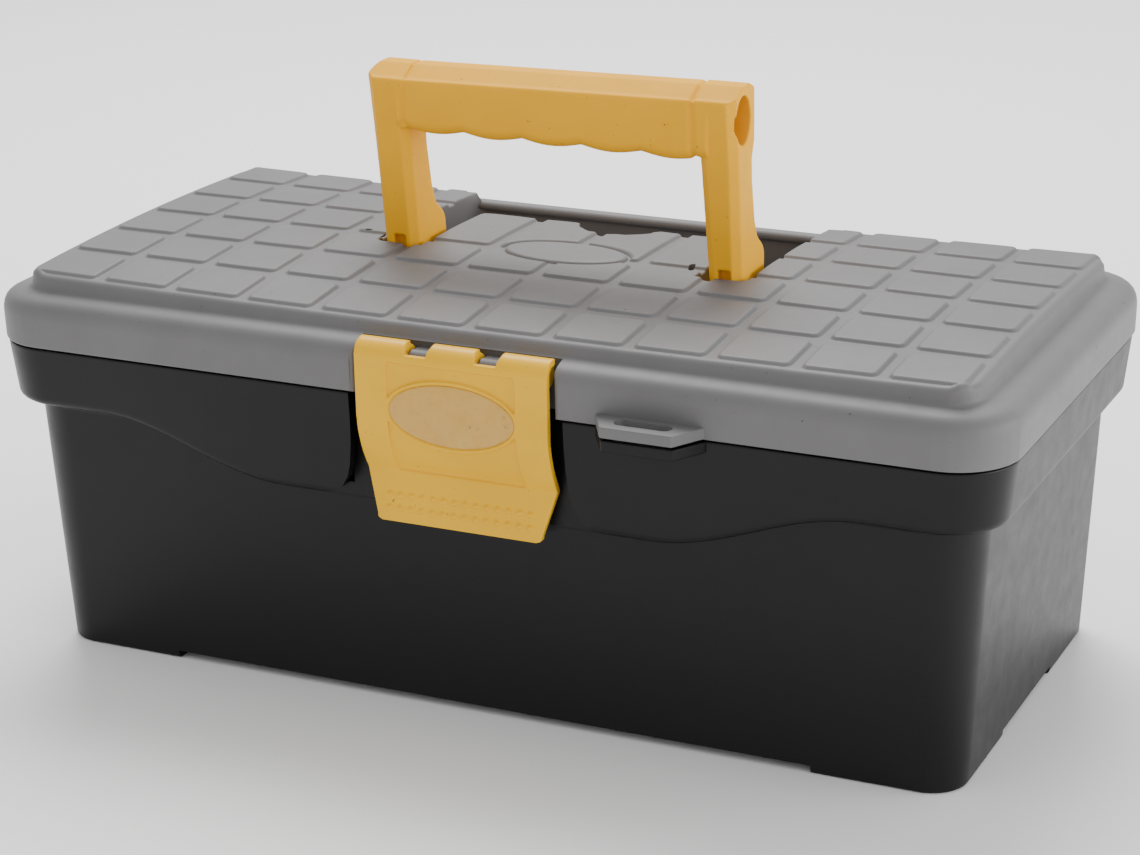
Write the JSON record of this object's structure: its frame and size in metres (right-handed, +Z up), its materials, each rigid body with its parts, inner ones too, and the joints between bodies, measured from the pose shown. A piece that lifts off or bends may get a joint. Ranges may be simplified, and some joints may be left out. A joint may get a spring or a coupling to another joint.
{
  "type": "toolbox with tray",
  "caption": "Small plastic toolbox with a hinged tiled lid, fold-flat carry handle, front latch, padlock eye and a lift-out divided tray.",
  "frame": {"origin": "on the surface that the box stands on, under the middle of the object's box at rest", "axes": "+X along the box to its right, +Y to the hinge side, +Z up; rest is lid closed, latch closed, handle upright and tray seated"},
  "size_m": [0.35, 0.1848, 0.1955],
  "materials": {
    "bin_black": "black polypropylene, fine satin texture",
    "lid_grey": "mid grey polypropylene, satin",
    "handle_yellow": "orange-yellow polypropylene, slightly translucent, satin",
    "latch_yellow": "orange-yellow polypropylene, satin",
    "badge_amber": "amber label inlay, smooth and blank",
    "pin_steel": "drawn steel wire",
    "tray_black": "black polypropylene, satin",
    "divider_grey": "dark grey polypropylene, satin"
  },
  "bodies": {
    "bin": {"bin_shell": "bin_black", "hinge_pin_left": "pin_steel", "hinge_pin_right": "pin_steel"},
    "lid": {"lid_shell": "lid_grey", "padlock_eye": "lid_grey", "latch_pin": "pin_steel", "handle_pin_left": "pin_steel", "handle_pin_right": "pin_steel"},
    "latch": {"latch_plate": "latch_yellow", "latch_badge": "badge_amber"},
    "handle": {"carry_handle": "handle_yellow"},
    "tray": {"tray_shell": "tray_black", "tray_partition": "tray_black", "tray_divider_front_left": "divider_grey", "tray_divider_front_right": "divider_grey", "tray_divider_rear_left": "divider_grey", "tray_divider_rear_right": "divider_grey"}
  },
  "joints": [
    {"name": "lid_hinge", "type": "hinge", "parent": "bin", "child": "lid", "pos_m": [0, 0.0882, 0.106], "axis": [-1, 0, 0], "range_deg": [0, 105]},
    {"name": "latch_hinge", "type": "hinge", "parent": "lid", "child": "latch", "pos_m": [0, -0.0783, 0.1218], "axis": [-1, 0, 0], "range_deg": [0, 85]},
    {"name": "handle_fold", "type": "hinge", "parent": "lid", "child": "handle", "pos_m": [0, -0.0003, 0.1275], "axis": [-1, 0, 0], "range_deg": [0, 92]},
    {"name": "tray_lift", "type": "slide", "parent": "bin", "child": "tray", "axis": [0, 0, 1], "range_m": [0, 0.0135]}
  ]
}
